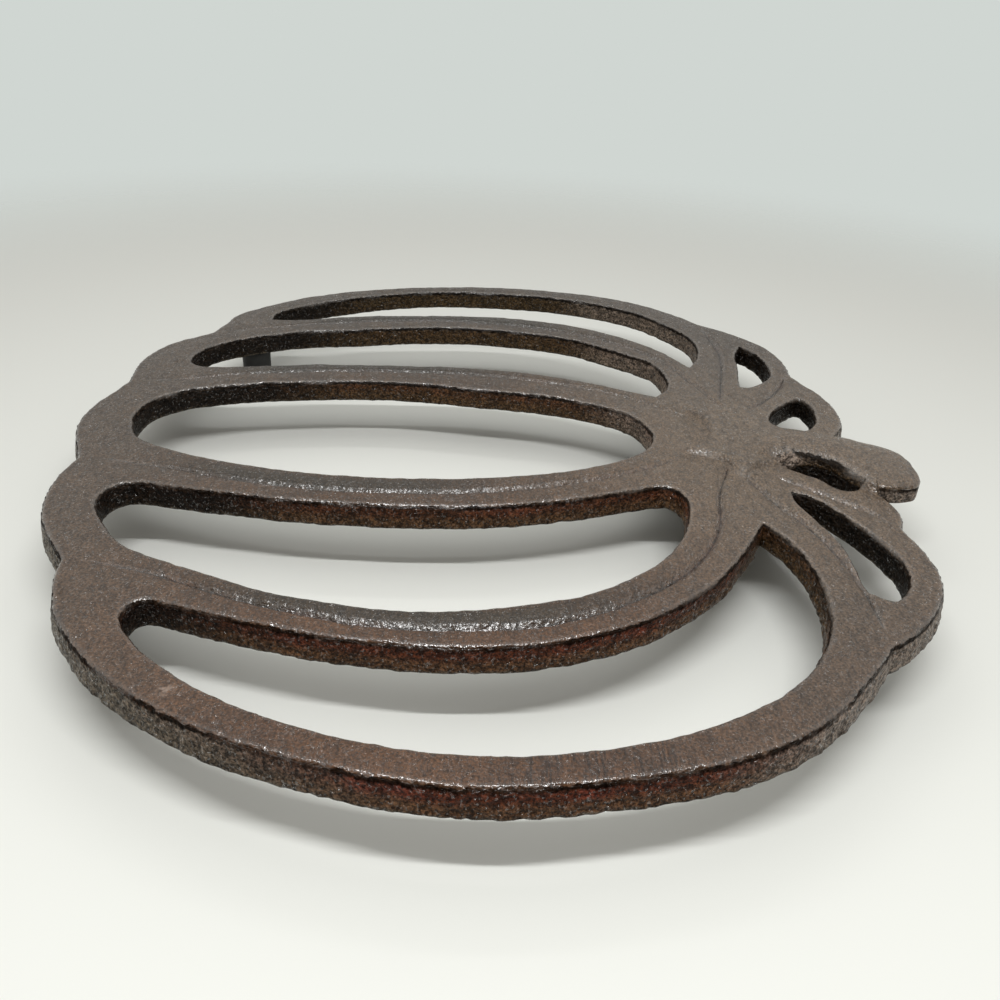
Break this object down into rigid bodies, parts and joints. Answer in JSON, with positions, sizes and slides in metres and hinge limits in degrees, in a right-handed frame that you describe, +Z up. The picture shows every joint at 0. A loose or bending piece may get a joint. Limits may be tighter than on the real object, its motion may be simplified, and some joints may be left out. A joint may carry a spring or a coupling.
{
  "type": "trivet",
  "caption": "Cast iron trivet in the outline of a ribbed pumpkin with a leaning stem, open between the ribs, on rubber-capped feet.",
  "frame": {"origin": "bottom centre of the bounding box, on the table", "axes": "+X across the widest way of the pumpkin, +Y towards the stem, +Z up"},
  "size_m": [0.2098, 0.176, 0.018],
  "materials": {
    "iron": "satin",
    "rubber": "matte"
  },
  "bodies": {
    "root": {"casting": "iron", "cap_front_far": "rubber", "cap_front_near": "rubber", "cap_back_far": "rubber", "cap_back_near": "rubber"}
  },
  "joints": []
}
